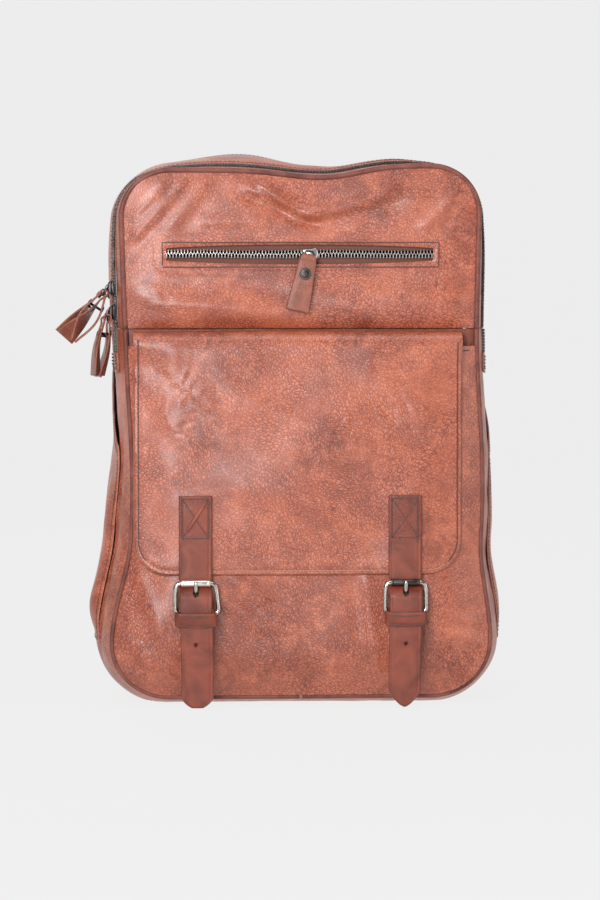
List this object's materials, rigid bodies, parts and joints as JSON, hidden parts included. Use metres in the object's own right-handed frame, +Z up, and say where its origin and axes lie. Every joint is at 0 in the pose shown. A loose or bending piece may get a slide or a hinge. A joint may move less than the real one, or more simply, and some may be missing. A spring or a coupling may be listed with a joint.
{
  "type": "backpack",
  "caption": "Upright leather laptop backpack with piped edges, arched zips, a front zip, a buckled flap over a patch pocket, side pockets and shoulder straps.",
  "frame": {"origin": "on the flat rest face of the base, below the middle of the bag's outline", "axes": "+Z up the bag, -Y out of the front with the flap, +X to the right as seen from the front"},
  "size_m": [0.3433, 0.2293, 0.4263],
  "materials": {
    "leather": "glossy pebbled orange-tan leather",
    "strap_leather": "smooth darker tan leather with pale cut edges",
    "piping": "dark brown leather cord",
    "padding": "dark brown padded mesh",
    "webbing": "dark brown woven webbing",
    "zip_tape": "brown twill tape",
    "nickel": "polished nickel",
    "dark_nickel": "dark nickel"
  },
  "bodies": {
    "bag": {"back_panel": "padding", "back_piping": "piping", "base_panel": "leather", "side_gusset_left": "leather", "side_gusset_right": "leather", "side_pocket_left": "leather", "side_pocket_right": "leather", "middle_zip_strip": "leather", "rear_zip_strip": "leather", "main_zip_half_rear": "zip_tape", "laptop_zip": "zip_tape", "laptop_divider": "padding", "front_panel_lower": "leather", "front_piping_lower": "piping", "pocket_panel": "leather", "flap_root": "leather", "snap_socket_left": "nickel", "snap_socket_right": "nickel", "shoulder_strap_left": "padding", "shoulder_strap_right": "padding", "webbing_left": "webbing", "webbing_right": "webbing", "strap_anchor_left": "strap_leather", "strap_anchor_right": "strap_leather", "strap_yoke": "strap_leather"},
    "cover": {"front_panel_upper": "leather", "front_piping_upper": "piping", "front_zip_strip": "leather", "main_zip_half_front": "zip_tape", "front_zip_tape": "zip_tape", "front_zip_teeth": "nickel"},
    "front_slider": {"front_zip_slider": "dark_nickel"},
    "front_pull": {"front_zip_pull": "strap_leather"},
    "flap": {"flap": "leather", "strap_left": "strap_leather", "chape_left": "strap_leather", "keeper_left": "strap_leather", "snap_stud_left": "nickel", "strap_right": "strap_leather", "chape_right": "strap_leather", "keeper_right": "strap_leather", "snap_stud_right": "nickel"},
    "handle": {"handle": "strap_leather"},
    "main_slider_upper": {"main_slider_upper": "dark_nickel"},
    "main_pull_upper": {"main_pull_upper": "strap_leather"},
    "main_slider_lower": {"main_slider_lower": "dark_nickel"},
    "main_pull_lower": {"main_pull_lower": "strap_leather"},
    "laptop_slider_upper": {"laptop_slider_upper": "dark_nickel"},
    "laptop_pull_upper": {"laptop_pull_upper": "strap_leather"},
    "laptop_slider_lower": {"laptop_slider_lower": "dark_nickel"},
    "laptop_pull_lower": {"laptop_pull_lower": "strap_leather"},
    "buckle_frame_left": {"buckle_frame_left": "nickel"},
    "buckle_roller_left": {"buckle_roller_left": "nickel"},
    "buckle_prong_left": {"buckle_prong_left": "nickel"},
    "ladder_lock_left": {"ladder_lock_left": "nickel"},
    "buckle_frame_right": {"buckle_frame_right": "nickel"},
    "buckle_roller_right": {"buckle_roller_right": "nickel"},
    "buckle_prong_right": {"buckle_prong_right": "nickel"},
    "ladder_lock_right": {"ladder_lock_right": "nickel"}
  },
  "joints": [
    {"name": "cover_tip", "type": "hinge", "parent": "bag", "child": "cover", "pos_m": [0, -0.0613, 0.2928], "axis": [1, 0, 0], "range_deg": [0, 25]},
    {"name": "flap_hinge", "type": "hinge", "parent": "bag", "child": "flap", "pos_m": [-0.003, -0.067, 0.2906], "axis": [-1, 0, 0], "range_deg": [0, 95]},
    {"name": "front_slider_slide", "type": "slide", "parent": "cover", "child": "front_slider", "axis": [1, 0, 0], "range_m": [-0.1035, 0.0885]},
    {"name": "front_pull_swing", "type": "hinge", "parent": "front_slider", "child": "front_pull", "pos_m": [0.0061, -0.0696, 0.3512], "axis": [-1, 0, 0], "range_deg": [0, 80]},
    {"name": "handle_swing", "type": "hinge", "parent": "bag", "child": "handle", "pos_m": [0, 0.0715, 0.4015], "axis": [1, 0, 0], "range_deg": [0, 150]},
    {"name": "main_slider_upper_slide", "type": "slide", "parent": "bag", "child": "main_slider_upper", "axis": [-0.0318, 0, 0.9995], "range_m": [-0.0025, 0.04]},
    {"name": "main_pull_upper_swing", "type": "hinge", "parent": "main_slider_upper", "child": "main_pull_upper", "pos_m": [-0.14919, -0.03755, 0.3233], "axis": [0, 1, 0], "range_deg": [0, 72]},
    {"name": "main_slider_lower_slide", "type": "slide", "parent": "bag", "child": "main_slider_lower", "axis": [-0.0318, 0, 0.9995], "range_m": [-0.02, 0.0025]},
    {"name": "main_pull_lower_swing", "type": "hinge", "parent": "main_slider_lower", "child": "main_pull_lower", "pos_m": [-0.14842, -0.03754, 0.30476], "axis": [0, 1, 0], "range_deg": [0, 28]},
    {"name": "laptop_slider_upper_slide", "type": "slide", "parent": "bag", "child": "laptop_slider_upper", "axis": [-0.0318, 0, 0.9995], "range_m": [-0.0025, 0.04]},
    {"name": "laptop_pull_upper_swing", "type": "hinge", "parent": "laptop_slider_upper", "child": "laptop_pull_upper", "pos_m": [-0.15059, 0.0369, 0.31979], "axis": [0, 1, 0], "range_deg": [0, 62]},
    {"name": "laptop_slider_lower_slide", "type": "slide", "parent": "bag", "child": "laptop_slider_lower", "axis": [-0.0318, 0, 0.9995], "range_m": [-0.02, 0.0025]},
    {"name": "laptop_pull_lower_swing", "type": "hinge", "parent": "laptop_slider_lower", "child": "laptop_pull_lower", "pos_m": [-0.14979, 0.0369, 0.30125], "axis": [0, 1, 0], "range_deg": [0, 30]},
    {"name": "buckle_tilt_left", "type": "hinge", "parent": "flap", "child": "buckle_frame_left", "pos_m": [-0.0826, -0.087, 0.074], "axis": [1, 0, 0], "range_deg": [0, 5]},
    {"name": "buckle_roller_left_spin", "type": "hinge", "parent": "buckle_frame_left", "child": "buckle_roller_left", "pos_m": [-0.0826, -0.087, 0.0973], "axis": [1, 0, 0], "continuous": true},
    {"name": "buckle_prong_left_lift", "type": "hinge", "parent": "buckle_frame_left", "child": "buckle_prong_left", "pos_m": [-0.0826, -0.087, 0.074], "axis": [1, 0, 0], "range_deg": [0, 3]},
    {"name": "ladder_lock_left_tilt", "type": "hinge", "parent": "bag", "child": "ladder_lock_left", "pos_m": [-0.0903, 0.1024, 0.1625], "axis": [1, 0, 0], "range_deg": [0, 35]},
    {"name": "buckle_tilt_right", "type": "hinge", "parent": "flap", "child": "buckle_frame_right", "pos_m": [0.0791, -0.087, 0.074], "axis": [1, 0, 0], "range_deg": [0, 5]},
    {"name": "buckle_roller_right_spin", "type": "hinge", "parent": "buckle_frame_right", "child": "buckle_roller_right", "pos_m": [0.0791, -0.087, 0.0973], "axis": [1, 0, 0], "continuous": true},
    {"name": "buckle_prong_right_lift", "type": "hinge", "parent": "buckle_frame_right", "child": "buckle_prong_right", "pos_m": [0.0791, -0.087, 0.074], "axis": [1, 0, 0], "range_deg": [0, 3]},
    {"name": "ladder_lock_right_tilt", "type": "hinge", "parent": "bag", "child": "ladder_lock_right", "pos_m": [0.0903, 0.1024, 0.1625], "axis": [1, 0, 0], "range_deg": [0, 35]}
  ]
}
